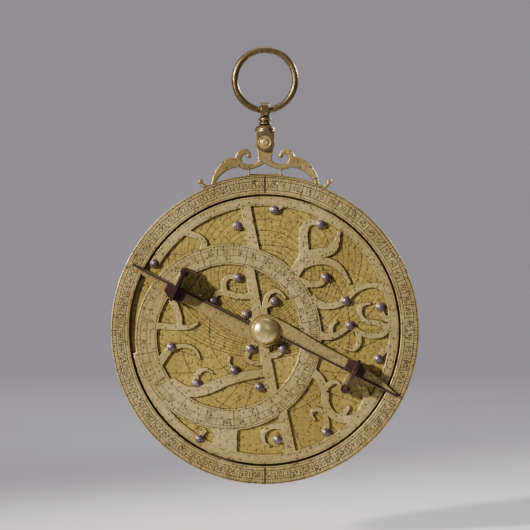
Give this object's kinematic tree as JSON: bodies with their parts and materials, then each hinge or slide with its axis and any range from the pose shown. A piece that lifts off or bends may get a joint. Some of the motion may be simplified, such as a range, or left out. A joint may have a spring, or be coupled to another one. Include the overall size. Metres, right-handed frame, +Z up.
{
  "type": "planispheric astrolabe",
  "caption": "Brass planispheric astrolabe hanging from a ring: mater with latitude plates, turning pierced rete with silver star knobs, sighting rule with vanes, pin and wedge.",
  "frame": {"origin": "inside top of the ring, where a thumb or a hook holds the instrument, half way through its thickness", "axes": "+Z up along the hanging line, the face and its sighting rule look towards -Y, +X to the right of one who looks at the face"},
  "size_m": [0.155, 0.0285, 0.2206],
  "materials": {
    "mater_brass": "aged, matt, engraved",
    "throne_brass": "aged, matt",
    "plate_brass": "aged, matt, engraved",
    "rete_brass": "aged, matt, engraved",
    "rule_brass": "aged, matt",
    "pin_brass": "worn bright",
    "suspension_bronze": "dark patina, rubbed on the high places",
    "dark_bronze": "dark brown patina",
    "star_silver": "tarnished silver"
  },
  "bodies": {
    "ring": {"ring": "suspension_bronze"},
    "swivel": {"swivel": "suspension_bronze"},
    "shackle": {"shackle": "suspension_bronze", "shackle_pin": "suspension_bronze"},
    "mater": {"mater_back_plate": "mater_brass", "limb_ring": "mater_brass", "limb_rivet_1": "mater_brass", "limb_rivet_2": "mater_brass", "limb_rivet_3": "mater_brass", "limb_rivet_4": "mater_brass", "limb_rivet_5": "mater_brass", "limb_rivet_6": "mater_brass", "throne": "throne_brass", "throne_rivet_left": "throne_brass", "throne_rivet_right": "throne_brass", "latitude_plate_1": "plate_brass", "latitude_plate_2": "plate_brass", "latitude_plate_3": "plate_brass", "latitude_plate_4": "plate_brass", "centre_pin": "pin_brass", "spacer_washer": "pin_brass", "back_washer": "pin_brass"},
    "rete": {"rete": "rete_brass", "star_boss_01": "star_silver", "star_boss_02": "star_silver", "star_boss_03": "star_silver", "star_boss_04": "star_silver", "star_boss_05": "star_silver", "star_boss_06": "star_silver", "star_boss_07": "star_silver", "star_boss_08": "star_silver", "star_boss_09": "star_silver", "star_boss_10": "star_silver", "star_boss_11": "star_silver", "star_boss_12": "star_silver", "star_boss_13": "star_silver", "star_boss_14": "star_silver", "star_boss_15": "star_silver", "star_boss_16": "star_silver", "star_boss_17": "star_silver", "star_boss_18": "star_silver", "star_boss_19": "star_silver", "star_boss_20": "star_silver", "star_boss_21": "star_silver", "star_boss_22": "star_silver"},
    "alidade": {"alidade_rule": "rule_brass", "sight_vane_left": "dark_bronze", "sight_vane_right": "dark_bronze"},
    "wedge": {"wedge": "dark_bronze"}
  },
  "joints": [
    {"name": "ring_tilt", "type": "hinge", "parent": "ring", "child": "swivel", "pos_m": [0, 0, -0.0287], "axis": [1, 0, 0], "range_deg": [-90, 90]},
    {"name": "swivel_turn", "type": "hinge", "parent": "swivel", "child": "shackle", "pos_m": [0, 0, -0.0377], "axis": [0, 0, 1], "continuous": true},
    {"name": "shackle_swing", "type": "hinge", "parent": "shackle", "child": "mater", "pos_m": [0, 0, -0.0453], "axis": [0, 1, 0], "range_deg": [-45, 45]},
    {"name": "rete_turn", "type": "hinge", "parent": "mater", "child": "rete", "pos_m": [0, -0.003, -0.1397], "axis": [0, 1, 0], "continuous": true},
    {"name": "alidade_turn", "type": "hinge", "parent": "mater", "child": "alidade", "pos_m": [0, -0.00625, -0.1397], "axis": [0, 1, 0], "continuous": true},
    {"name": "wedge_slide", "type": "slide", "parent": "mater", "child": "wedge", "axis": [1, 0, 0], "range_m": [0, 0.011]}
  ]
}
